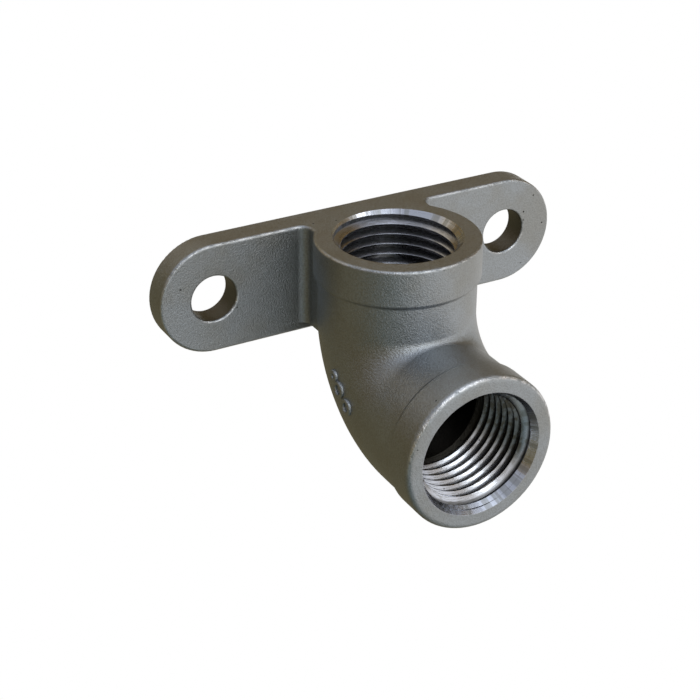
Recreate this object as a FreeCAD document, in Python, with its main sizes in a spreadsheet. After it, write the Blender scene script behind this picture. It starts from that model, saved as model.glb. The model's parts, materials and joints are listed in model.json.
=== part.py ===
import FreeCAD, Part
import math
import os
import re

import Sketcher

# Wall plate elbow: one cast fitting, a wall plate with two screw holes that carries a bend between
# two tapped sockets. The origin lies midway between the screw holes, on the back face of the plate.
# X runs along the plate, Y points into the wall, and Z points up, out of the upper socket.
# The front socket opens towards -Y. Lengths are in millimetres.

NODE = "wall_plate_elbow"
NEAR = 0.001    # two lengths closer than this count as equal

# The socket axes, seen from their crossing.
UPPER = FreeCAD.Vector(0, 0, 1)
FRONT = FreeCAD.Vector(0, -1, 0)

# Dimensions that can be set one by one.
DRIVING = {
    # Wall plate
    "hole_spacing": 56.0,
    "hole_diameter": 8.0,
    "hole_edge_round": 0.4,
    "plate_height": 19.2,
    "plate_thickness": 4.6,
    "plate_edge_round": 0.5,
    "back_edge_round": 0.25,
    # Bridge between the plate and the upper socket
    "bridge_width": 22.4,
    "bridge_rise": 1.5,
    "bridge_corner_round": 1.6,
    "wall_clearance": 1.5,
    # Sockets and bend
    "centre_to_face": 27.0,
    "socket_wall": 2.7,
    "crotch_radius": 1.0,
    "top_collar_step": 0.65,
    "top_collar_length": 6.2,
    "top_rim_round": 0.5,
    "front_collar_step": 0.45,
    "front_collar_length": 5.8,
    "front_rim_round": 1.0,
    "collar_foot_slope": 0.6,
    "collar_foot_round": 0.4,
    # Tapped bores and the waterway between them
    "thread_root_diameter": 20.955,
    "thread_depth": 14.5,
    "top_mouth_flare": 0.24,
    "top_lead_in": 0.27,
    "front_mouth_flare": 0.42,
    "front_lead_in": 0.73,
    "thread_runout": 1.2,
    "waterway_diameter": 18.4,
}

# Dimensions that follow from the driving ones.
DERIVED = {
    "root_radius": "thread_root_diameter / 2",
    "waterway_radius": "waterway_diameter / 2",
    "body_radius": "root_radius + socket_wall",
    "bend_radius": "body_radius + crotch_radius",
    "top_collar_radius": "body_radius + top_collar_step",
    "front_collar_radius": "body_radius + front_collar_step",
    "axis_setback": "top_collar_radius + wall_clearance",
    "front_axis_drop": "centre_to_face - plate_height / 2",
    "bridge_bottom": "bridge_rise - plate_height / 2",
}

doc = FreeCAD.newDocument("WallPlateElbow")
sheet = doc.addObject("Spreadsheet::Sheet", "Sizes")


def fill_sheet():
    """One row of the sheet for each dimension, driving ones first."""
    rows = [(name, str(number)) for name, number in DRIVING.items()]
    rows += [(name, "=" + formula) for name, formula in DERIVED.items()]
    for row, (name, text) in enumerate(rows, start=1):
        sheet.set(f"A{row}", name)
        sheet.setAlias(f"B{row}", name)
        sheet.set(f"B{row}", text)
    doc.recompute()


def value(formula):
    """Number that a formula of dimension names gives now."""
    return float(sheet.evalExpression(formula))


def bind(target, prop, formula):
    """Tie a property or a sketch constraint to a formula of dimension names."""
    target.setExpression(prop, re.sub(r"[a-z]\w*", r"Sizes.\g<0>", formula))


def new_body(name):
    return doc.addObject("PartDesign::Body", name)


def new_sketch(body, name, plane, offset=None):
    """Sketch on one of the body's own planes, or parallel to it at an offset along its normal."""
    sketch = body.newObject("Sketcher::SketchObject", name)
    support = next(item for item in body.Origin.OriginFeatures if item.Role == plane)
    sketch.AttachmentSupport = (support, [""])
    sketch.MapMode = "FlatFace"
    if offset:
        bind(sketch, "AttachmentOffset.Base.z", offset)
    return sketch


def place_point(sketch, geometry, end, x, y):
    """Hold a point of a sketch at two formulas, measured from the sketch's origin."""
    for kind, formula in (("DistanceX", x), ("DistanceY", y)):
        constraint = Sketcher.Constraint(kind, -1, 1, geometry, end, value(formula))
        index = sketch.addConstraint(constraint)
        bind(sketch, f"Constraints[{index}]", formula)


def draw_circle(sketch, x, y, radius):
    centre = FreeCAD.Vector(value(x), value(y), 0)
    ring = sketch.addGeometry(Part.Circle(centre, FreeCAD.Vector(0, 0, 1), value(radius)))
    place_point(sketch, ring, 3, x, y)
    index = sketch.addConstraint(Sketcher.Constraint("Radius", ring, value(radius)))
    bind(sketch, f"Constraints[{index}]", radius)


def draw_polygon(sketch, corners):
    """Closed outline of straight lines through corners that are pairs of formulas."""
    points = [FreeCAD.Vector(value(x), value(y), 0) for x, y in corners]
    lines = []
    for start, end in zip(points, points[1:] + points[:1]):
        lines.append(sketch.addGeometry(Part.LineSegment(start, end)))
    for line, following, (x, y) in zip(lines, lines[1:] + lines[:1], corners):
        sketch.addConstraint(Sketcher.Constraint("Coincident", line, 2, following, 1))
        place_point(sketch, line, 1, x, y)


def pad(body, name, sketch, length):
    feature = body.newObject("PartDesign::Pad", name)
    feature.Profile = sketch
    bind(feature, "Length", length)
    doc.recompute()
    return feature


def revolve(body, name, sketch, axis, angle=360.0):
    feature = body.newObject("PartDesign::Revolution", name)
    feature.Profile = sketch
    feature.ReferenceAxis = (sketch, [axis])
    feature.Angle = angle
    doc.recompute()
    return feature


def round_edges(body, name, base, wanted, radius):
    """Round each edge of the base feature for which the test holds."""
    edges = [f"Edge{i}" for i, edge in enumerate(base.Shape.Edges, start=1) if wanted(edge)]
    if not edges:
        raise RuntimeError(f"{name}: no edge to round")
    feature = body.newObject("PartDesign::Fillet", name)
    feature.Base = (base, edges)
    bind(feature, "Radius", radius)
    doc.recompute()
    return feature


def along(edge):
    """Three points of an edge: its two ends and its middle."""
    first, last = edge.ParameterRange
    return [edge.valueAt(first + share * (last - first)) for share in (0.0, 0.5, 1.0)]


def near(number, formula):
    return abs(number - value(formula)) < NEAR


def ring_at(edge, radius, axis, position):
    """True for a circle of that radius whose centre lies at a position along the axis."""
    if edge.Degenerated or not isinstance(edge.Curve, Part.Circle):
        return False
    return near(edge.Curve.Radius, radius) and near(edge.Curve.Center.dot(axis), position)


def make_plate():
    """Wall plate with round ends and two holes, and the bridge that grows out of its front face."""
    body = new_body("plate_casting")
    outline = new_sketch(body, "plate_outline", "XZ_Plane")
    draw_stadium(outline, "hole_spacing / 2", "plate_height / 2")
    pad(body, "plate", outline, "plate_thickness")
    shape = round_plate_edges(body, add_bridge(body))
    return drill_holes(body, shape)


def add_bridge(body):
    """Block from the plate to the upper socket, level with the plate's top and short of its bottom."""
    plan = new_sketch(body, "bridge_plan", "XY_Plane", "bridge_bottom")
    left, right = "-bridge_width / 2", "bridge_width / 2"
    front, inside = "-axis_setback", "-plate_thickness / 2"
    draw_polygon(plan, [(left, front), (right, front), (right, inside), (left, inside)])
    bridge = pad(body, "bridge", plan, "plate_height / 2 - bridge_bottom")

    def plate_corner(edge):
        return all(near(point.y, "-plate_thickness") and near(abs(point.x), right)
                   for point in along(edge))

    return round_edges(body, "bridge_corners", bridge, plate_corner, "bridge_corner_round")


def round_plate_edges(body, base):
    """Round the front outline of plate and bridge together, and the back outline less."""

    def front_outline(edge):
        points = along(edge)
        level = all(near(abs(point.z), "plate_height / 2") for point in points)
        plate_end = near(abs(points[1].x), "hole_spacing / 2 + plate_height / 2")
        forward = all(point.y < value("-plate_thickness") + NEAR for point in points)
        beside_bridge = all(abs(point.x) > value("bridge_width / 2") - NEAR for point in points)
        below = all(point.z < 0 for point in points)
        return forward and (plate_end or (level and (beside_bridge or below)))

    def back_outline(edge):
        return all(near(point.y, "0") for point in along(edge))

    shape = round_edges(body, "front_outline", base, front_outline, "plate_edge_round")
    return round_edges(body, "back_outline", shape, back_outline, "back_edge_round")


def drill_holes(body, base):
    """Two plain screw holes through the plate, with softened edges."""
    holes = new_sketch(body, "hole_circles", "XZ_Plane")
    for side in ("-hole_spacing / 2", "hole_spacing / 2"):
        draw_circle(holes, side, "0", "hole_diameter / 2")
    drilled = body.newObject("PartDesign::Pocket", "screw_holes")
    drilled.Profile = holes
    drilled.Type = "ThroughAll"
    drilled.Reversed = True
    doc.recompute()
    if drilled.Shape.Volume > base.Shape.Volume - NEAR:
        raise RuntimeError("the screw holes cut nothing")

    def hole_edge(edge):
        if edge.Degenerated or not isinstance(edge.Curve, Part.Circle):
            return False
        return near(edge.Curve.Radius, "hole_diameter / 2")

    round_edges(body, "hole_edges", drilled, hole_edge, "hole_edge_round")
    return body


def draw_stadium(sketch, half_length, radius):
    """Slot outline: two half circles about centres on the X axis, joined by straight lines."""
    up = FreeCAD.Vector(0, 0, 1)
    reach, height = value(half_length), value(radius)
    quarter = math.pi / 2
    right = Part.ArcOfCircle(Part.Circle(FreeCAD.Vector(reach, 0, 0), up, height), -quarter, quarter)
    left = Part.ArcOfCircle(Part.Circle(FreeCAD.Vector(-reach, 0, 0), up, height), quarter, 3 * quarter)
    top = Part.LineSegment(FreeCAD.Vector(reach, height, 0), FreeCAD.Vector(-reach, height, 0))
    bottom = Part.LineSegment(FreeCAD.Vector(-reach, -height, 0), FreeCAD.Vector(reach, -height, 0))
    chain = [sketch.addGeometry(part) for part in (right, top, left, bottom)]
    for part, following in zip(chain, chain[1:] + chain[:1]):
        sketch.addConstraint(Sketcher.Constraint("Tangent", part, 2, following, 1))
    place_point(sketch, chain[0], 3, half_length, "0")
    place_point(sketch, chain[2], 3, "-" + half_length, "0")
    index = sketch.addConstraint(Sketcher.Constraint("Radius", chain[0], height))
    bind(sketch, f"Constraints[{index}]", radius)


def place_on_axes(body):
    """Move a body whose own origin is the crossing of the two socket axes to its place on the plate."""
    bind(body, "Placement.Base.y", "-axis_setback")
    bind(body, "Placement.Base.z", "-front_axis_drop")


def draw_bend(body, name, radius):
    """Quarter bend between the axes, swept from a circle across the upper axis."""
    section = new_sketch(body, f"{name}_section", "XY_Plane", "bend_radius")
    draw_circle(section, "0", "0", radius)
    reach = value("bend_radius")
    start, end = FreeCAD.Vector(reach, -reach, 0), FreeCAD.Vector(-reach, -reach, 0)
    pivot = section.addGeometry(Part.LineSegment(start, end), True)
    place_point(section, pivot, 1, "bend_radius", "-bend_radius")
    place_point(section, pivot, 2, "-bend_radius", "-bend_radius")
    return revolve(body, name, section, "Axis0", 90.0)


def turn(body, name, axis, steps):
    """Solid turned about a socket axis from pairs of radius and distance from the crossing.

    The upper axis runs up the sketch, and the front axis runs to its left.
    """
    sketch = new_sketch(body, f"{name}_section", "YZ_Plane")
    if axis == UPPER:
        draw_polygon(sketch, steps)
        return revolve(body, name, sketch, "V_Axis")
    draw_polygon(sketch, [(f"-({distance})", radius) for radius, distance in steps])
    return revolve(body, name, sketch, "H_Axis")


def socket_steps(collar_radius, collar_length):
    """Outside of a socket: a straight body from the bend out to its collar."""
    foot = f"centre_to_face - {collar_length}"
    return [("0", "bend_radius"), ("body_radius", "bend_radius"),
            ("body_radius", f"{foot} - collar_foot_slope"), (collar_radius, foot),
            (collar_radius, "centre_to_face"), ("0", "centre_to_face")]


def make_elbow():
    """Both sockets with their collars, and the bend between them, as a solid bar."""
    body = new_body("elbow_casting")
    turn(body, "upper_socket", UPPER, socket_steps("top_collar_radius", "top_collar_length"))
    draw_bend(body, "bend", "body_radius")
    shape = turn(body, "front_socket", FRONT, socket_steps("front_collar_radius", "front_collar_length"))
    for name, axis in (("top", UPPER), ("front", FRONT)):
        collar, foot = f"{name}_collar_radius", f"centre_to_face - {name}_collar_length"

        def rim(edge):
            return ring_at(edge, collar, axis, "centre_to_face")

        def collar_foot(edge):
            on_body = ring_at(edge, "body_radius", axis, f"{foot} - collar_foot_slope")
            return on_body or ring_at(edge, collar, axis, foot)

        shape = round_edges(body, f"{name}_rim", shape, rim, f"{name}_rim_round")
        shape = round_edges(body, f"{name}_collar_foot", shape, collar_foot, "collar_foot_round")
    place_on_axes(body)
    return body


def bore_steps(mouth_flare, lead_in):
    """Tapped bore at the root of its thread, with its lead-in, from beyond the rim to its run-out."""
    mouth = f"root_radius + {mouth_flare}"
    beyond = f"centre_to_face + {lead_in}"
    thread_end = "centre_to_face - thread_depth"
    bottom = f"{thread_end} - thread_runout"
    return [("0", beyond), (mouth, beyond), (mouth, "centre_to_face"),
            ("root_radius", f"centre_to_face - {lead_in}"), ("root_radius", thread_end),
            ("waterway_radius", bottom), ("0", bottom)]


def make_bores():
    """Everything that is hollow inside the elbow: two tapped bores and the curved waterway."""
    body = new_body("elbow_bores")
    passage = [("0", "bend_radius"), ("waterway_radius", "bend_radius"),
               ("waterway_radius", "centre_to_face"), ("0", "centre_to_face")]
    turn(body, "upper_passage", UPPER, passage)
    draw_bend(body, "waterway", "waterway_radius")
    turn(body, "front_passage", FRONT, passage)
    turn(body, "upper_bore", UPPER, bore_steps("top_mouth_flare", "top_lead_in"))
    turn(body, "front_bore", FRONT, bore_steps("front_mouth_flare", "front_lead_in"))
    place_on_axes(body)
    return body


def combine(kind, name, base, tool):
    feature = doc.addObject(kind, name)
    feature.Base = base
    feature.Tool = tool
    feature.Refine = True
    doc.recompute()
    return feature


def check_document():
    """Stop if any object of the document failed."""
    for item in doc.Objects:
        if "Invalid" in item.State or "Error" in item.State:
            raise RuntimeError(f"{item.Name} failed: {item.State}")


fill_sheet()
casting = combine("Part::Fuse", "casting", make_elbow(), make_plate())
fitting = combine("Part::Cut", "fitting", casting, make_bores())
fitting.Label = NODE
fitting.Placement = FreeCAD.Placement()
doc.recompute()
check_document()
if fitting.Shape.isNull() or not fitting.Shape.isValid() or len(fitting.Shape.Solids) != 1:
    raise RuntimeError("the fitting is not one sound solid")
if fitting.Shape.Volume > casting.Shape.Volume - NEAR:
    raise RuntimeError("the bores cut nothing")

os.makedirs("parts", exist_ok=True)
fitting.Shape.exportStep(f"parts/{fitting.Label}.step")
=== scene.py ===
"""Looks of a cast wall plate elbow: blasted skin, machined bores, pipe threads and a foundry mark."""

import json
import math

import bmesh
import bpy
from mathutils import Euler, Matrix, Vector


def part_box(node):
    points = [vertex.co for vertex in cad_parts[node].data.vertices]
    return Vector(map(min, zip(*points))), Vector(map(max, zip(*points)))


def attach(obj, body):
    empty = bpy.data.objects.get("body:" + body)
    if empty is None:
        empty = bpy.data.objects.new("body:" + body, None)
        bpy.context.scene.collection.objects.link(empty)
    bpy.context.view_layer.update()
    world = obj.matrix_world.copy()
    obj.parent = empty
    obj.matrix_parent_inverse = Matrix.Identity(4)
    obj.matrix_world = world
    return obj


bl_info = {
    "name": "Wall plate elbow finish",
    "version": (1, 0, 0),
    "blender": (4, 5, 0),
    "location": "View3D > Sidebar > Elbow",
    "description": "Dresses the cast wall plate elbow with its finish, threads, mark and studio",
    "category": "Object",
}

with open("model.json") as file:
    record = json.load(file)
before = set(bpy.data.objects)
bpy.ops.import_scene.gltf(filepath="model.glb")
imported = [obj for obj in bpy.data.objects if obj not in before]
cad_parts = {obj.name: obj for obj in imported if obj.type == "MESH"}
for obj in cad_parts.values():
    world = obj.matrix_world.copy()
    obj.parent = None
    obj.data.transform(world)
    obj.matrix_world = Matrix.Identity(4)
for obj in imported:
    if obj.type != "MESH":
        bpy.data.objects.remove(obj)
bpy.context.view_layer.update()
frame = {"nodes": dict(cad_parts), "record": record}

MM = 0.001
CASTING = "wall_plate_elbow"
BODY = "root"

# Places that the frame gives, in metres.
LOW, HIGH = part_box(CASTING)
MOUNTS = {mount["name"]: mount for mount in frame["record"]["mounts"]}
TOP_AXIS_Y = MOUNTS["top_socket"]["pos_m"][1]
FRONT_AXIS_Z = MOUNTS["front_socket"]["pos_m"][2]
ROOT_RADIUS = MOUNTS["top_socket"]["dims"]["r_mm"] * MM
HOLE_RADIUS = MOUNTS["wall_holes"]["dims"]["hole_r_mm"] * MM
HOLE_REACH = MOUNTS["wall_holes"]["dims"]["spacing_x_mm"] * MM / 2
TOP_RIM_Z = HIGH.z
FRONT_RIM_Y = LOW.y
FRONT_COLLAR_RADIUS = FRONT_AXIS_Z - LOW.z

# Sizes of the casting that the frame doesn't name, in metres.
PLATE_THICKNESS = 4.6 * MM
BRIDGE_REACH = 12.8 * MM
SOCKET_WALL = 2.7 * MM
CROTCH_RADIUS = 1.0 * MM
TOP_COLLAR_RADIUS = 13.83 * MM
WATERWAY_RADIUS = 9.2 * MM
BODY_RADIUS = ROOT_RADIUS + SOCKET_WALL
BEND_RADIUS = BODY_RADIUS + CROTCH_RADIUS
BEND_PIVOT_Y = TOP_AXIS_Y - BEND_RADIUS
BEND_PIVOT_Z = FRONT_AXIS_Z + BEND_RADIUS

# Bores: a lead-in is a cone from the mouth to the thread's crest, and its size is its depth, in metres.
THREAD_HEIGHT = 1.162 * MM
THREAD_DEPTH = 14.5 * MM
TOP_MOUTH_FLARE = 0.24 * MM
TOP_LEAD_IN = 1.56 * MM
FRONT_MOUTH_FLARE = 0.42 * MM
FRONT_LEAD_IN = 2.74 * MM
CREST_RADIUS = ROOT_RADIUS - THREAD_HEIGHT
TOP_MOUTH = ROOT_RADIUS + TOP_MOUTH_FLARE
FRONT_MOUTH = ROOT_RADIUS + FRONT_MOUTH_FLARE

# Thread ridges: softened corners of the crest, turns that stand above the rim before it is faced off,
# and how fast a foot goes back out to its full depth below the lead-in.
CREST_ROUND = 0.05 * MM
CREST_EASE = 1.5
TURNS_ABOVE_RIM = 1.5
FOOT_RETURN = 2.0
THREAD_SHARP = math.radians(35)
ON_AXIS = Vector((0, 0))

# Depths under the casting's skin at which a ridge's end and its foot are out of sight, in metres.
UNDER_SKIN = 0.012 * MM
FOOT_COVER = 0.04 * MM

# Rings of the foundry mark.
BEAD_SIDES = 12
RING_STEPS = 32
MARK_SHARP = math.radians(60)

# Finish: painted shade on the walls of the screw holes, and height of the bump in metres.
HOLE_SHADE = 0.7
BUMP_HEIGHT = 0.08 * MM

# Studio: what the lamps face and how far off they hang, half the floor's width, in metres, and plain greys.
AIM = Vector((0, TOP_AXIS_Y, FRONT_AXIS_Z / 2))
LAMP_DISTANCE = 0.55
FLOOR_REACH = 3.0
WHITE = (1.0, 1.0, 1.0)
PAPER = (0.9, 0.9, 0.9, 1.0)
FILL_LIGHT = (0.3, 0.3, 0.3)


class ThreadSizes(bpy.types.PropertyGroup):
    """Pipe thread in both sockets."""

    pitch: bpy.props.FloatProperty(
        name="Pitch", description="Distance from crest to crest", default=1.814 * MM, unit="LENGTH")
    crest_width: bpy.props.FloatProperty(
        name="Crest width", description="Width of the flat on the crest", default=0.30 * MM, unit="LENGTH")
    flank_angle: bpy.props.FloatProperty(
        name="Flank angle", description="Slope of each flank", default=math.radians(27.5), subtype="ANGLE")
    foot: bpy.props.FloatProperty(
        name="Foot", description="Depth of the ridge's foot in the wall", default=0.6 * MM, unit="LENGTH")
    end_depth: bpy.props.FloatProperty(
        name="End depth", description="Depth at which the ridge ends under the rim", default=16.0 * MM,
        unit="LENGTH")
    steps: bpy.props.IntProperty(name="Steps", description="Segments in one turn", default=96)
    top_turn: bpy.props.FloatProperty(
        name="Top turn", description="Turn of the upper thread about its axis",
        default=math.radians(-20.0), subtype="ANGLE")
    front_turn: bpy.props.FloatProperty(
        name="Front turn", description="Turn of the front thread about its axis",
        default=math.radians(40.0), subtype="ANGLE")
    front_shift: bpy.props.FloatVectorProperty(
        name="Front shift", description="How far the front lead-in was cut off the thread's axis",
        default=(-0.30 * MM, -0.15 * MM), size=2, unit="LENGTH")


class MarkSizes(bpy.types.PropertyGroup):
    """Raised foundry mark on the left of the bend: three rings."""

    ring_radii: bpy.props.FloatVectorProperty(
        name="Ring radii", description="Radius of each ring's centre line",
        default=(0.7 * MM, 1.15 * MM, 1.1 * MM), unit="LENGTH")
    ring_angles: bpy.props.FloatVectorProperty(
        name="Ring angles", description="Place of each ring along the bend",
        default=tuple(math.radians(angle) for angle in (36.0, 45.8, 59.0)), subtype="EULER")
    bead_radius: bpy.props.FloatProperty(
        name="Bead radius", description="Radius of a ring's section", default=0.43 * MM, unit="LENGTH")


class ElbowFinish(bpy.types.PropertyGroup):
    """Colours and roughness of the blasted casting and of its machined bores, with painted shade and
    highlights.
    """

    cast_colour: bpy.props.FloatVectorProperty(
        name="Cast colour", description="Blasted skin", default=(0.37, 0.396, 0.422), subtype="COLOR")
    stain_colour: bpy.props.FloatVectorProperty(
        name="Stain colour", description="Warm patches in the skin, and dull streaks on the cut metal",
        default=(0.33, 0.336, 0.328), subtype="COLOR")
    # Dark spots at the small casting pits, and the colour of the painted shade in the thread grooves and on
    # the walls of the screw holes.
    pit_and_shade_colour: bpy.props.FloatVectorProperty(
        name="Pit colour", description="Bottom of the small casting pits, and grime",
        default=(0.06, 0.055, 0.045), subtype="COLOR")
    # Painted shade: near black in the waterway beyond the threads.
    unlit_colour: bpy.props.FloatVectorProperty(
        name="Unlit colour", description="Dull waterway", default=(0.03, 0.028, 0.024), subtype="COLOR")
    # Brown darkening of the bores: strongest in the upper part of the front bore, lighter all over the
    # upper bore.
    bore_darkening_colour: bpy.props.FloatVectorProperty(
        name="Film colour", description="Brown film on the cut metal", default=(0.15, 0.13, 0.105),
        subtype="COLOR")
    grain_colour: bpy.props.FloatVectorProperty(
        name="Grain colour", description="Hollows of the blasted grain", default=(0.20, 0.20, 0.195),
        subtype="COLOR")
    # Painted highlight along the convex edges of the plate, the screw holes and the rims.
    edge_highlight_colour: bpy.props.FloatVectorProperty(
        name="Worn colour", description="Edges rubbed bright", default=(0.72, 0.72, 0.73), subtype="COLOR")
    cut_colour: bpy.props.FloatVectorProperty(
        name="Cut colour", description="Machined thread and lead-in", default=(0.63, 0.655, 0.73),
        subtype="COLOR")
    cast_roughness: bpy.props.FloatProperty(
        name="Cast roughness", description="Roughness of the blasted skin", default=0.42, subtype="FACTOR")
    cut_roughness: bpy.props.FloatProperty(
        name="Cut roughness", description="Roughness of the machined faces", default=0.24, subtype="FACTOR")


class StudioSettings(bpy.types.PropertyGroup):
    """Camera, lamps and surroundings."""

    camera_place: bpy.props.FloatVectorProperty(
        name="Camera place", description="Where the camera stands",
        default=(-0.135325, -0.239739, 0.129703), unit="LENGTH")
    camera_turn: bpy.props.FloatVectorProperty(
        name="Camera turn", description="How the camera is turned",
        default=tuple(math.radians(angle) for angle in (61.6645, -0.4685, -29.1732)), subtype="EULER")
    lens: bpy.props.FloatProperty(
        name="Lens", description="Focal length on a 36 mm sensor", default=91.333, unit="CAMERA")
    floor_drop: bpy.props.FloatProperty(
        name="Floor drop", description="Distance of the floor below the fitting", default=0.12,
        unit="LENGTH")
    key_power: bpy.props.FloatProperty(
        name="Key power", description="Lamp from the front", default=0.88, unit="POWER")
    top_power: bpy.props.FloatProperty(
        name="Top power", description="Cool lamp from above", default=0.2, unit="POWER")
    side_power: bpy.props.FloatProperty(
        name="Side power", description="Small lamp at the right, which lights the inside of the bend",
        default=0.32, unit="POWER")
    dark_side: bpy.props.FloatVectorProperty(
        name="Dark side", description="What the metal mirrors on its left and behind it",
        default=(0.226, 0.196, 0.115), subtype="COLOR")
    bright_side: bpy.props.FloatVectorProperty(
        name="Bright side", description="What the metal mirrors on the floor at its right",
        default=(0.96, 0.935, 0.90), subtype="COLOR")
    dim_front: bpy.props.FloatVectorProperty(
        name="Dim front", description="What the metal mirrors on the floor before it",
        default=(0.185, 0.24, 0.245), subtype="COLOR")
    back_colour: bpy.props.FloatVectorProperty(
        name="Back colour", description="What the metal mirrors high up behind it",
        default=(0.76, 0.68, 0.54), subtype="COLOR")
    wall_colour: bpy.props.FloatVectorProperty(
        name="Wall colour", description="What the metal mirrors above the horizon",
        default=(0.22, 0.145, 0.05), subtype="COLOR")
    ceiling_colour: bpy.props.FloatVectorProperty(
        name="Ceiling colour", description="What the metal mirrors overhead", default=(0.52, 0.55, 0.62),
        subtype="COLOR")


class Wire:
    """One output socket in a node tree; arithmetic on it adds Math nodes."""

    def __init__(self, tree, socket=None):
        self.tree = tree
        self.socket = socket

    def node(self, kind, settings=None, inputs=None, output=0):
        """Add a node, give it its settings and then its inputs, and return one of its outputs, if any."""
        node = self.tree.nodes.new(kind)
        for name, setting in (settings or {}).items():
            setattr(node, name, setting)
        for name, given in (inputs or {}).items():
            if isinstance(given, Wire):
                self.tree.links.new(given.socket, node.inputs[name])
            else:
                node.inputs[name].default_value = given
        return Wire(self.tree, node.outputs[output] if node.outputs else None)

    def beside(self, output):
        """Another output of the node that this one belongs to."""
        return Wire(self.tree, self.socket.node.outputs[output])

    def split(self):
        """The three parts of a vector."""
        first = self.node("ShaderNodeSeparateXYZ", None, {0: self})
        return first, first.beside(1), first.beside(2)

    def math(self, operation, *values):
        return self.node("ShaderNodeMath", {"operation": operation}, dict(enumerate(values)))

    def __add__(self, other):
        return self.math("ADD", self, other)

    __radd__ = __add__

    def __sub__(self, other):
        return self.math("SUBTRACT", self, other)

    def __rsub__(self, other):
        return self.math("SUBTRACT", other, self)

    def __mul__(self, other):
        return self.math("MULTIPLY", self, other)

    __rmul__ = __mul__

    def __truediv__(self, other):
        return self.math("DIVIDE", self, other)

    def __pow__(self, other):
        return self.math("POWER", self, other)

    def __abs__(self):
        return self.math("ABSOLUTE", self)

    def most(self, other):
        return self.math("MAXIMUM", self, other)

    def ramp(self, start, end):
        """Smooth step of this value, from 0 at start to 1 at end."""
        settings = {"interpolation_type": "SMOOTHSTEP"}
        rises = end > start
        low, high = (start, end) if rises else (end, start)
        step = self.node("ShaderNodeMapRange", settings, {"Value": self, "From Min": low, "From Max": high})
        return step if rises else 1.0 - step

    def ramp_near(self, limit, fade):
        """Smooth step whose start and end lie the fade's two distances past a limit."""
        start, end = fade
        return self.ramp(limit + start, limit + end)

    def blend(self, first, second):
        """Colour that goes from the first to the second as this value goes from 0 to 1."""
        first, second = [given if isinstance(given, Wire) else (*given, 1.0) for given in (first, second)]
        # The Mix node's sockets share their names, so its colours go by number.
        return self.node("ShaderNodeMix", {"data_type": "RGBA"}, {0: self, 6: first, 7: second}, 2)


def span(first, second):
    """Length of the hypotenuse over two values."""
    return (first * first + second * second) ** 0.5


def vector(*parts):
    """Vector of two or three values."""
    return parts[0].node("ShaderNodeCombineXYZ", None, dict(enumerate(parts)))


def noise(place, scale, detail=2.0, roughness=0.5):
    inputs = {"Vector": place, "Scale": scale, "Detail": detail, "Roughness": roughness}
    return place.node("ShaderNodeTexNoise", None, inputs, "Fac")


def pits(place, scale, share, radius):
    """Scattered round pits: one in some of the cells of a random pattern."""
    rim = radius * scale
    bottom = 0.35 * rim
    distance = place.node(
        "ShaderNodeTexVoronoi", {"feature": "F1"}, {"Vector": place, "Scale": scale}, "Distance")
    chance = place.node("ShaderNodeSeparateColor", None, {0: distance.beside("Color")})
    return distance.ramp(rim, bottom) * chance.math("LESS_THAN", chance, share)


def new_material(name):
    """Empty node material, and a wire to start from."""
    material = bpy.data.materials.new(name)
    material.use_nodes = True
    material.node_tree.nodes.clear()
    return material, Wire(material.node_tree)


def cone_slope(mouth, lead_in):
    """Radius that a lead-in loses for each unit of depth."""
    return (mouth - CREST_RADIUS) / lead_in


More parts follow.
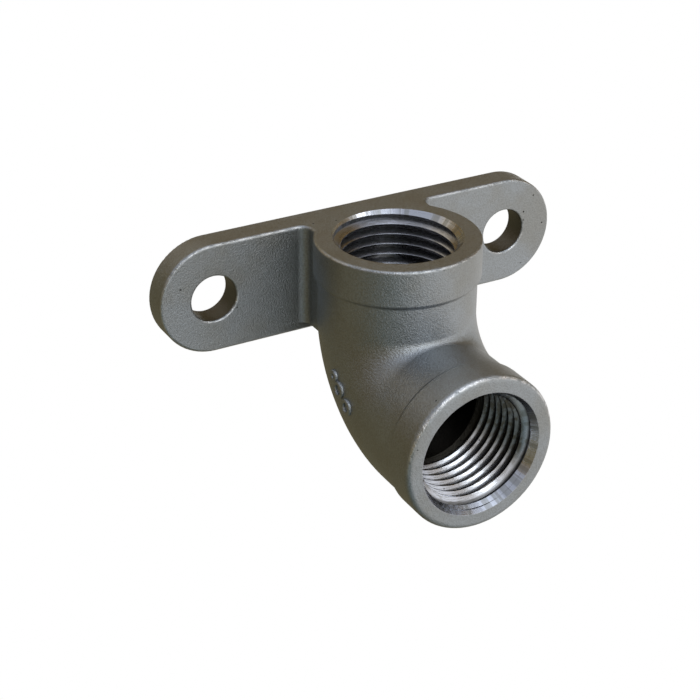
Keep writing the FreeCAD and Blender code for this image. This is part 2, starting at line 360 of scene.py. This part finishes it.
class SkinPlaces:
    """Masks that follow the casting's own shape, worked out from its coordinates in millimetres."""

    # Where a mask starts and where it is full, in millimetres past the edge that it follows.
    MOUTH_FADE = (0.06, 0.01)
    THREAD_END_FADE = (0.8, 0.3)
    LEAD_IN_FADE = (0.0, -0.4)
    WATERWAY_FADE = (2.0, 1.6)
    BEND_FADE = (-0.8, 0.0)
    HOLE_FADE = (0.14, 0.04)
    HOLE_EDGE_FADE = (0.05, 0.4)
    BRIDGE_FADE = (-0.6, 0.0)
    LOWER_HALF_FADE = (0.5, -0.5)

    # Painted shade in the thread grooves: depths under the crest, and the upper bore's share of it.
    TOP_GROOVE = (0.03, 0.4)
    FRONT_GROOVE = (0.5, 0.9)
    TOP_GROOVE_SHADE = 0.35

    # Brown darkening: heights over the front bore's axis, and the upper bore's share of it.
    DARKENING_RISE = (-9.0, -2.0)
    TOP_DARKENING = 0.4

    # Painted edge highlights: bright middle as a share of the width, places where the rims' highlights end,
    # and how far the middle of the front rim's round lies from both of its faces.
    HIGHLIGHT_MIDDLE = 0.15
    TOP_RIM_END = (6.0, 4.0)
    FRONT_RIM_END = (-2.0, 4.0)
    ROUND_INSET = 0.29

    STREAK_SCALE = 9.0
    LINE_SCALE = 8.0
    LINE_DETAIL = 3.0

    def __init__(self, x, y, z):
        self.across = abs(x)
        self.height = z
        self.behind_axis = y - TOP_AXIS_Y / MM
        self.above_axis = z - FRONT_AXIS_Z / MM
        self.top_radius = span(x, self.behind_axis)
        self.top_depth = TOP_RIM_Z / MM - z
        self.front_radius = span(x, self.above_axis)
        self.front_depth = y - FRONT_RIM_Y / MM
        self.around_top = (x / self.top_radius, self.behind_axis / self.top_radius)
        self.around_front = (x / self.front_radius, self.above_axis / self.front_radius)
        self.plate_front = y + PLATE_THICKNESS / MM
        beside_hole = self.across - HOLE_REACH / MM
        self.outline = span(beside_hole.most(0.0), z) - TOP_RIM_Z / MM
        self.hole_radius = span(beside_hole, z)
        self.in_top = self.inside_bore(self.top_radius, self.top_depth, TOP_MOUTH)
        self.in_front = self.inside_bore(self.front_radius, self.front_depth, FRONT_MOUTH)
        self.machined = self.in_top.most(self.in_front)

    def inside_bore(self, radius, depth, mouth):
        """Bore and lead-in, down to the end of the thread."""
        within = radius.ramp_near(mouth / MM, self.MOUTH_FADE)
        return within * depth.ramp_near(THREAD_DEPTH / MM, self.THREAD_END_FADE)

    @staticmethod
    def below_crest(radius, depth, mouth, lead_in):
        """Depth of the thread's groove under the crest, or under the lead-in where that is wider."""
        cone = mouth / MM - cone_slope(mouth, lead_in) * depth
        return radius - cone.most(CREST_RADIUS / MM)

    def groove_shade_mask(self):
        """Painted shade at the bottom of the threads."""
        top = self.below_crest(self.top_radius, self.top_depth, TOP_MOUTH, TOP_LEAD_IN)
        front = self.below_crest(self.front_radius, self.front_depth, FRONT_MOUTH, FRONT_LEAD_IN)
        top = self.in_top * top.ramp(*self.TOP_GROOVE) * self.TOP_GROOVE_SHADE
        return top.most(self.in_front * front.ramp(*self.FRONT_GROOVE))

    def bore_darkening(self):
        """Brown darkening: most of it in the upper part of the front bore, some all over the top bore."""
        front = self.in_front * self.above_axis.ramp(*self.DARKENING_RISE)
        return front.most(self.in_top * self.TOP_DARKENING)

    def unlit(self):
        """Painted shade in the waterway beyond the threads."""
        from_pivot = span(self.behind_axis + BEND_RADIUS / MM, self.height - BEND_PIVOT_Z / MM)
        from_middle = span(from_pivot - BEND_RADIUS / MM, self.across)
        waterway = from_middle.ramp_near(WATERWAY_RADIUS / MM, self.WATERWAY_FADE)
        beyond_top = self.top_depth.ramp_near(THREAD_DEPTH / MM, self.BEND_FADE)
        beyond_front = self.front_depth.ramp_near(THREAD_DEPTH / MM, self.BEND_FADE)
        return waterway * (beyond_top * beyond_front)

    def hole_walls(self):
        """Painted shade on the walls of the screw holes."""
        within = self.hole_radius.ramp_near(HOLE_RADIUS / MM, self.HOLE_FADE)
        return within * self.plate_front.ramp(*self.HOLE_EDGE_FADE)

    def lead_ins(self):
        """Countersinks at both mouths, as far as the thread's first full crest."""
        top = self.in_top * self.top_depth.ramp_near(TOP_LEAD_IN / MM, self.LEAD_IN_FADE)
        front = self.in_front * self.front_depth.ramp_near(FRONT_LEAD_IN / MM, self.LEAD_IN_FADE)
        return top.most(front)

    def highlight_mask(self, first, second, width):
        """Band along an edge, from the distances to its two faces."""
        return span(first, second).ramp(width, self.HIGHLIGHT_MIDDLE * width)

    def edges(self, width):
        """Painted highlights along convex edges: plate outline, screw holes, the front of the top rim and
        the upper side of the front rim.
        """
        beside_bridge = self.across.ramp_near(BRIDGE_REACH / MM, self.BRIDGE_FADE)
        clear = beside_bridge.most(self.height.ramp(*self.LOWER_HALF_FADE))
        plate = self.highlight_mask(self.outline, self.plate_front, width) * clear
        holes = self.highlight_mask(self.hole_radius - HOLE_RADIUS / MM, self.plate_front, width)
        top = self.highlight_mask(self.top_radius - TOP_COLLAR_RADIUS / MM, self.top_depth, width)
        top = top * self.behind_axis.ramp(*self.TOP_RIM_END)
        from_side = self.front_radius - FRONT_COLLAR_RADIUS / MM + self.ROUND_INSET
        from_face = self.front_depth - self.ROUND_INSET
        front = self.highlight_mask(from_side, from_face, width) * self.above_axis.ramp(*self.FRONT_RIM_END)
        return plate.most(holes).most(top).most(front)

    def streaks(self):
        """Noise that is the same all along a bore's depth, as a chattering tool leaves it."""
        top = noise(vector(*self.around_top), self.STREAK_SCALE)
        front = noise(vector(*self.around_front), self.STREAK_SCALE)
        return self.in_top * top + self.in_front * front

    def turning_marks(self):
        """Fine lines that run around a bore, as a tap leaves them."""
        top = noise(vector(self.top_radius, *self.around_top), self.LINE_SCALE, self.LINE_DETAIL)
        front = noise(vector(self.front_radius, *self.around_front), self.LINE_SCALE, self.LINE_DETAIL)
        return self.in_top * top + self.in_front * front


class CastSkin:
    """Blasted skin of the casting: grain, warm patches, small pits and highlights painted along the edges.
    """

    # Noise that makes the hollows, shares of colour, amounts of roughness and heights in the bump.
    HOLLOWS = (0.60, 0.38)
    HOLLOW_SHARE = 0.4
    EDGE_HIGHLIGHT_SHARE = 0.8
    GRAIN_ROUGH = 0.22
    EDGE_HIGHLIGHT_SHINE = 0.15
    PIT_ROUGH = 0.25
    GRAIN_HEIGHT = 1.25
    PEEL_HEIGHT = 0.5
    PIT_DEPTH = 0.9

    def __init__(self, place, skin):
        self.grain = noise(place, scale=3.5, roughness=0.7)
        self.peel = noise(place, scale=0.6)
        self.patches = noise(place, scale=0.09, detail=4.0, roughness=0.55).ramp(start=0.40, end=0.68)
        self.pits = pits(place, scale=0.5, share=0.11, radius=0.22)
        # Patches along the edges where the painted highlight shows.
        highlight_mask = noise(place, scale=0.9).ramp(start=0.35, end=0.6)
        self.edge_highlight = skin.edges(width=0.42) * highlight_mask * (1.0 - skin.machined)

    def colour(self, finish):
        colour = self.patches.blend(finish.cast_colour, finish.stain_colour)
        hollows = self.grain.ramp(*self.HOLLOWS) * self.HOLLOW_SHARE
        colour = hollows.blend(colour, finish.grain_colour)
        # Painted highlight along the edges.
        colour = (self.edge_highlight * self.EDGE_HIGHLIGHT_SHARE).blend(colour, finish.edge_highlight_colour)
        return self.pits.blend(colour, finish.pit_and_shade_colour)

    def roughness(self, finish):
        grainy = finish.cast_roughness + self.GRAIN_ROUGH * (self.grain - 0.5)
        return grainy - self.EDGE_HIGHLIGHT_SHINE * self.edge_highlight + self.PIT_ROUGH * self.pits

    def height(self):
        return self.grain * self.GRAIN_HEIGHT + self.peel * self.PEEL_HEIGHT - self.pits * self.PIT_DEPTH


class CutMetal:
    """Machined bores: tool marks, a brown darkening, painted shade in the grooves and small pits."""

    # Noise that makes the marks, shares of colour, amounts of roughness and heights in the bump.
    CHATTER_MARKS = (0.50, 0.60)
    CHATTER_SHARE = 0.7
    LINE_MARKS = (0.48, 0.62)
    LINE_SHARE = 0.7
    LEAD_IN_SHARE = 0.25
    GROOVE_SHADE_SHARE = 0.75
    LEAST_DARKENING = 0.7
    MARK_ROUGH = 0.2
    GROOVE_SHADE_ROUGH = 0.2
    LEAD_IN_ROUGH = 0.04
    CHATTER_HEIGHT = 0.8

    def __init__(self, place, skin):
        self.lead_in = skin.lead_ins()
        self.chatter = skin.streaks() * self.lead_in
        self.lines = skin.turning_marks() * (1.0 - self.lead_in)
        # Painted shade in the thread grooves.
        self.groove_shade = skin.groove_shade_mask() * self.GROOVE_SHADE_SHARE
        self.pits = pits(place, scale=0.8, share=0.10, radius=0.2)
        uneven = noise(place, scale=1.2, detail=3.0).ramp(start=0.4, end=0.6)
        darkening_strength = self.LEAST_DARKENING + (1.0 - self.LEAST_DARKENING) * uneven
        # Brown darkening, uneven in places and kept off the lead-ins.
        self.bore_darkening = skin.bore_darkening() * (1.0 - self.lead_in) * darkening_strength

    def colour(self, finish):
        chattered = self.chatter.ramp(*self.CHATTER_MARKS) * self.CHATTER_SHARE
        colour = chattered.blend(finish.cut_colour, finish.stain_colour)
        lined = self.lines.ramp(*self.LINE_MARKS) * self.LINE_SHARE
        colour = (lined + self.lead_in * self.LEAD_IN_SHARE).blend(colour, finish.stain_colour)
        colour = self.bore_darkening.blend(colour, finish.bore_darkening_colour)
        # Painted shade in the thread grooves.
        colour = self.groove_shade.blend(colour, finish.pit_and_shade_colour)
        return self.pits.blend(colour, finish.pit_and_shade_colour)

    def roughness(self, finish):
        marked = finish.cut_roughness + self.MARK_ROUGH * (self.chatter + self.lines - 0.5)
        return marked + self.GROOVE_SHADE_ROUGH * self.groove_shade + self.LEAD_IN_ROUGH * self.lead_in

    def height(self):
        return self.chatter * self.CHATTER_HEIGHT


def cast_and_machined_steel(finish):
    """Blasted skin, with cut metal in the bores, painted shade on the walls of the screw holes and
    near-black painted shade in the waterway.
    """
    material, start = new_material("cast_and_machined_steel")
    point = start.node("ShaderNodeTexCoord", output="Object")
    place = start.node("ShaderNodeVectorMath", {"operation": "SCALE"}, {0: point, "Scale": 1 / MM})
    skin = SkinPlaces(*place.split())
    cast = CastSkin(place, skin)
    metal = CutMetal(place, skin)
    cut = skin.machined

    colour = cut.blend(cast.colour(finish), metal.colour(finish))
    # Painted shade on the walls of the screw holes.
    colour = (skin.hole_walls() * HOLE_SHADE).blend(colour, finish.pit_and_shade_colour)
    # Painted shade: the waterway is darkened to near black.
    colour = skin.unlit().blend(colour, finish.unlit_colour)
    cast_rough = cast.roughness(finish)
    rough = cast_rough + cut * (metal.roughness(finish) - cast_rough)
    height = cast.height() * (1.0 - cut) + cut * metal.height()
    bump = start.node("ShaderNodeBump", None, {"Strength": 1.0, "Distance": BUMP_HEIGHT, "Height": height})
    shader = start.node("ShaderNodeBsdfPrincipled", None, {
        "Base Color": colour, "Roughness": rough, "Metallic": 1.0, "Normal": bump})
    start.node("ShaderNodeOutputMaterial", None, {"Surface": shader})
    return material


def casting_material():
    """Material that the skin operator gave the casting."""
    return frame["nodes"][CASTING].material_slots[0].material


def new_object(name, shape, material):
    """Object at the origin from a finished bmesh."""
    mesh = bpy.data.meshes.new(name)
    shape.to_mesh(mesh)
    shape.free()
    mesh.materials.append(material)
    made = bpy.data.objects.new(name, mesh)
    bpy.context.scene.collection.objects.link(made)
    return made


def new_piece(name, shape, sharp_angle):
    """Piece of the object, of the casting's metal and riding on its body."""
    bmesh.ops.recalc_face_normals(shape, faces=shape.faces)
    for face in shape.faces:
        face.smooth = True
    piece = new_object(name, shape, casting_material())
    piece.data.set_sharp_from_angle(angle=sharp_angle)
    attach(piece, BODY)


class WALLELBOW_OT_skin(bpy.types.Operator):
    """Give the casting its blasted skin and machined bores"""

    bl_idname = "wall_elbow.skin"
    bl_label = "Casting skin"

    def execute(self, context):
        node = frame["nodes"][CASTING]
        if not node.material_slots:
            raise RuntimeError("the casting has no material slot")
        material = cast_and_machined_steel(context.scene.elbow_finish)
        for slot in node.material_slots:
            slot.material = material
        return {"FINISHED"}


def thread_section(sizes):
    """Corners of half a ridge as radius and height, from its crest to its buried foot."""
    foot = ROOT_RADIUS + sizes.foot
    shoulder = CREST_RADIUS + CREST_ROUND
    slope = math.tan(sizes.flank_angle)
    half = sizes.crest_width / 2
    return [
        (CREST_RADIUS, half),
        (shoulder, half + CREST_EASE * slope * (shoulder - CREST_RADIUS)),
        (foot, half + slope * (foot - CREST_RADIUS)),
    ]


def thread_ridge(sizes, turn):
    """Closed right-hand ridge about Z, with the rim at zero and the bore below it."""
    shape = bmesh.new()
    half = thread_section(sizes)
    corners = [(radius, -height) for radius, height in reversed(half)] + half
    start_height = TURNS_ABOVE_RIM * sizes.pitch
    verts = [shape.verts.new((radius, 0, start_height + height)) for radius, height in corners]
    section = shape.faces.new(verts)
    turns = (start_height + sizes.end_depth) / sizes.pitch
    bmesh.ops.spin(
        shape, geom=[section, *section.edges, *section.verts], cent=(0, 0, 0), axis=(0, 0, 1),
        dvec=(0, 0, -sizes.pitch / sizes.steps), angle=-2 * math.pi * turns,
        steps=round(turns * sizes.steps))
    bmesh.ops.rotate(shape, verts=shape.verts, cent=(0, 0, 0), matrix=Matrix.Rotation(turn, 3, "Z"))
    return shape


def countersink(shape, centre, mouth, lead_in):
    """Push what stands inside a lead-in's cone out to it."""
    slope = cone_slope(mouth, lead_in)
    for vert in shape.verts:
        beside = vert.co.xy - centre
        least = mouth + UNDER_SKIN + slope * vert.co.z
        if beside.length < least:
            vert.co.xy = centre + beside.normalized() * least


def bed_feet(shape, mouth, lead_in):
    """Draw a ridge's feet in to the lead-in's cone near the rim, so that they leave no groove in it."""
    slope = cone_slope(mouth, lead_in)
    end_depth = (mouth - ROOT_RADIUS) / slope
    for vert in shape.verts:
        depth = -vert.co.z
        most = mouth + FOOT_COVER - slope * depth + FOOT_RETURN * max(0.0, depth - end_depth)
        if vert.co.xy.length > most:
            vert.co.xy = vert.co.xy.normalized() * most


def face_off(shape):
    """Cut a ridge off just under the rim at zero, and close it there."""
    everything = [*shape.verts, *shape.edges, *shape.faces]
    bmesh.ops.bisect_plane(
        shape, geom=everything, plane_co=(0, 0, -UNDER_SKIN), plane_no=(0, 0, 1), clear_outer=True)
    bmesh.ops.holes_fill(shape, edges=[edge for edge in shape.edges if edge.is_boundary])


class WALLELBOW_OT_threads(bpy.types.Operator):
    """Cut the pipe thread in both sockets"""

    bl_idname = "wall_elbow.threads"
    bl_label = "Socket threads"

    def execute(self, context):
        sizes = context.scene.elbow_thread
        self.top_thread(sizes)
        self.front_thread(sizes)
        return {"FINISHED"}

    def top_thread(self, sizes):
        shape = thread_ridge(sizes, sizes.top_turn)
        countersink(shape, ON_AXIS, TOP_MOUTH, TOP_LEAD_IN)
        face_off(shape)
        bmesh.ops.translate(shape, verts=shape.verts, vec=(0, TOP_AXIS_Y, TOP_RIM_Z))
        new_piece("top_thread", shape, THREAD_SHARP)

    def front_thread(self, sizes):
        """Thread whose lead-in is cut twice: on the casting's axis, and then off it."""
        shape = thread_ridge(sizes, sizes.front_turn)
        countersink(shape, ON_AXIS, FRONT_MOUTH, FRONT_LEAD_IN)
        bed_feet(shape, FRONT_MOUTH, FRONT_LEAD_IN)
        countersink(shape, Vector(sizes.front_shift), FRONT_MOUTH, FRONT_LEAD_IN)
        face_off(shape)
        forward = Matrix.Rotation(math.pi / 2, 3, "X")
        bmesh.ops.rotate(shape, verts=shape.verts, cent=(0, 0, 0), matrix=forward)
        bmesh.ops.translate(shape, verts=shape.verts, vec=(0, FRONT_RIM_Y, FRONT_AXIS_Z))
        new_piece("front_thread", shape, THREAD_SHARP)


class WALLELBOW_OT_mark(bpy.types.Operator):
    """Raise the foundry mark on the left of the bend"""

    bl_idname = "wall_elbow.mark"
    bl_label = "Foundry mark"

    def execute(self, context):
        sizes = context.scene.elbow_mark
        shape = bmesh.new()
        for radius, angle in zip(sizes.ring_radii, sizes.ring_angles):
            verts = self.ring(shape, radius, sizes.bead_radius)
            bmesh.ops.transform(shape, verts=verts, matrix=self.place(angle))
        new_piece("foundry_mark", shape, MARK_SHARP)
        return {"FINISHED"}

    @staticmethod
    def ring(shape, radius, bead_radius):
        """Bead bent into a ring about Z."""
        before = set(shape.verts)
        turn = Matrix.Translation((radius, 0, 0)) @ Matrix.Rotation(math.pi / 2, 4, "X")
        section = bmesh.ops.create_circle(shape, segments=BEAD_SIDES, radius=bead_radius, matrix=turn)
        edges = list({edge for vert in section["verts"] for edge in vert.link_edges})
        bmesh.ops.spin(
            shape, geom=section["verts"] + edges, cent=(0, 0, 0), axis=(0, 0, 1), angle=2 * math.pi,
            steps=RING_STEPS, use_merge=True)
        return [vert for vert in shape.verts if vert not in before]

    @staticmethod
    def place(angle):
        """Matrix from a ring's own frame, Z out of the skin, to its place on the side of the bend."""
        y = BEND_PIVOT_Y + BEND_RADIUS * math.cos(angle)
        z = BEND_PIVOT_Z - BEND_RADIUS * math.sin(angle)
        return Matrix.Translation((-BODY_RADIUS, y, z)) @ Matrix.Rotation(-math.pi / 2, 4, "Y")


def background_rays(start):
    """1 for rays that see the background itself: from the camera, or by way of metal or glass."""
    camera = start.node("ShaderNodeLightPath", output="Is Camera Ray")
    return camera.most(camera.beside("Is Glossy Ray")).most(camera.beside("Is Transmission Ray"))


def seen_or_mirrored(start, mirrored):
    """White, but the given colour where metal mirrors it."""
    return start.node("ShaderNodeLightPath", output="Is Glossy Ray").blend(WHITE, mirrored)


def white_floor(studio):
    """White sheet; metal mirrors it as bright at the right, dim in front and dark at the left."""
    material, start = new_material("white_floor")
    x, y, _ = start.node("ShaderNodeTexCoord", output="Object").split()
    rightward = 0.9 * x - 0.44 * y
    in_front = rightward.ramp(start=-0.28, end=-0.06) * y.ramp(start=0.0, end=-0.14)
    at_right = rightward.ramp(start=-0.02, end=0.22)
    mirrored = in_front.blend(studio.dark_side, studio.dim_front)
    mirrored = at_right.blend(mirrored, studio.bright_side)
    colour = seen_or_mirrored(start, mirrored)
    paper = start.node("ShaderNodeBsdfDiffuse", None, {"Color": PAPER})
    glow = start.node("ShaderNodeEmission", None, {"Color": colour, "Strength": 1.0})
    shader = start.node("ShaderNodeMixShader", None, {0: background_rays(start), 1: paper, 2: glow})
    start.node("ShaderNodeOutputMaterial", None, {"Surface": shader})
    return material


def studio_world(studio):
    """White for the camera; for metal a horizon that is pale in front, dim walls and a ceiling.

    The ceiling is cool, and warm toward the back. The horizon stands higher in front.
    """
    world = bpy.data.worlds.new("studio")
    world.use_nodes = True
    world.node_tree.nodes.clear()
    start = Wire(world.node_tree)
    x, y, rise = start.node("ShaderNodeTexCoord", output="Generated").split()
    front = 0.6 * x - 0.8 * y
    horizon = front.ramp(start=0.2, end=0.7).blend(studio.dark_side, WHITE)
    ceiling = y.ramp(start=0.2, end=0.6).blend(studio.ceiling_colour, studio.back_colour)
    over_walls = (rise - 0.25 * x).ramp(start=0.54, end=0.72)
    above = over_walls.blend(studio.wall_colour, ceiling)
    lift = 0.18 * front.ramp(start=0.5, end=0.9)
    over_horizon = (rise - lift).ramp(start=0.12, end=0.28)
    mirrored = over_horizon.blend(horizon, above)
    colour = background_rays(start).blend(FILL_LIGHT, seen_or_mirrored(start, mirrored))
    shader = start.node("ShaderNodeBackground", None, {"Color": colour, "Strength": 1.0})
    start.node("ShaderNodeOutputWorld", None, {"Surface": shader})
    return world


class WALLELBOW_OT_stage(bpy.types.Operator):
    """Set up the floor, the surroundings, the lamps and the camera"""

    bl_idname = "wall_elbow.stage"
    bl_label = "Stage"

    def execute(self, context):
        studio = context.scene.elbow_studio
        context.scene.view_settings.view_transform = "Standard"
        self.lay_floor(studio)
        context.scene.world = studio_world(studio)
        self.hang_lamp(
            context, "key_lamp", studio.key_power, azimuth=0, elevation=34, size=0.36,
            colour=(0.90, 0.96, 1.0))
        self.hang_lamp(
            context, "top_lamp", studio.top_power, azimuth=20, elevation=72, size=0.30,
            colour=(0.86, 0.92, 1.0))
        self.hang_lamp(
            context, "side_lamp", studio.side_power, azimuth=52, elevation=45, size=0.20,
            colour=(0.93, 0.97, 1.0))
        self.stand_camera(context, studio)
        return {"FINISHED"}

    def lay_floor(self, studio):
        """Sheet below the fitting, far wider than the picture."""
        centre = Matrix.Translation((0, 0, LOW.z - studio.floor_drop))
        shape = bmesh.new()
        bmesh.ops.create_grid(shape, x_segments=1, y_segments=1, size=FLOOR_REACH, matrix=centre)
        sheet = new_object("floor", shape, white_floor(studio))

    def hang_lamp(self, context, name, power, azimuth, elevation, size, colour):
        """Round soft lamp that faces the fitting; azimuth 0 is in front of it, and 90 on its right."""
        data = bpy.data.lights.new(name, "AREA")
        data.shape = "DISK"
        data.size = size
        data.energy = power
        data.color = colour
        lamp = bpy.data.objects.new(name, data)
        turn = Euler((math.radians(90 - elevation), 0, math.radians(azimuth)))
        lamp.rotation_euler = turn
        lamp.location = AIM + turn.to_matrix() @ Vector((0, 0, LAMP_DISTANCE))
        context.scene.collection.objects.link(lamp)

    def stand_camera(self, context, studio):
        data = bpy.data.cameras.new("camera")
        data.lens = studio.lens
        camera = bpy.data.objects.new("camera", data)
        camera.location = studio.camera_place
        camera.rotation_euler = Euler(studio.camera_turn)
        context.scene.collection.objects.link(camera)
        context.scene.camera = camera


class WALLELBOW_PT_pieces(bpy.types.Panel):
    """Pieces of the wall plate elbow, in the order in which they are made"""

    bl_idname = "WALLELBOW_PT_pieces"
    bl_label = "Wall plate elbow"
    bl_space_type = "VIEW_3D"
    bl_region_type = "UI"
    bl_category = "Elbow"

    def draw(self, context):
        for operator in OPERATORS:
            self.layout.operator(operator.bl_idname)


GROUPS = {
    "elbow_thread": ThreadSizes,
    "elbow_mark": MarkSizes,
    "elbow_finish": ElbowFinish,
    "elbow_studio": StudioSettings,
}
OPERATORS = (WALLELBOW_OT_skin, WALLELBOW_OT_threads, WALLELBOW_OT_mark, WALLELBOW_OT_stage)


def register():
    for name, group in GROUPS.items():
        bpy.utils.register_class(group)
        setattr(bpy.types.Scene, name, bpy.props.PointerProperty(type=group))
    for operator in OPERATORS:
        bpy.utils.register_class(operator)
    bpy.utils.register_class(WALLELBOW_PT_pieces)


def unregister():
    bpy.utils.unregister_class(WALLELBOW_PT_pieces)
    for operator in reversed(OPERATORS):
        bpy.utils.unregister_class(operator)
    for name, group in GROUPS.items():
        delattr(bpy.types.Scene, name)
        bpy.utils.unregister_class(group)


def main():
    register()
    bpy.ops.wall_elbow.skin()
    bpy.ops.wall_elbow.threads()
    bpy.ops.wall_elbow.mark()
    bpy.ops.wall_elbow.stage()


if __name__ == "__main__":
    main()
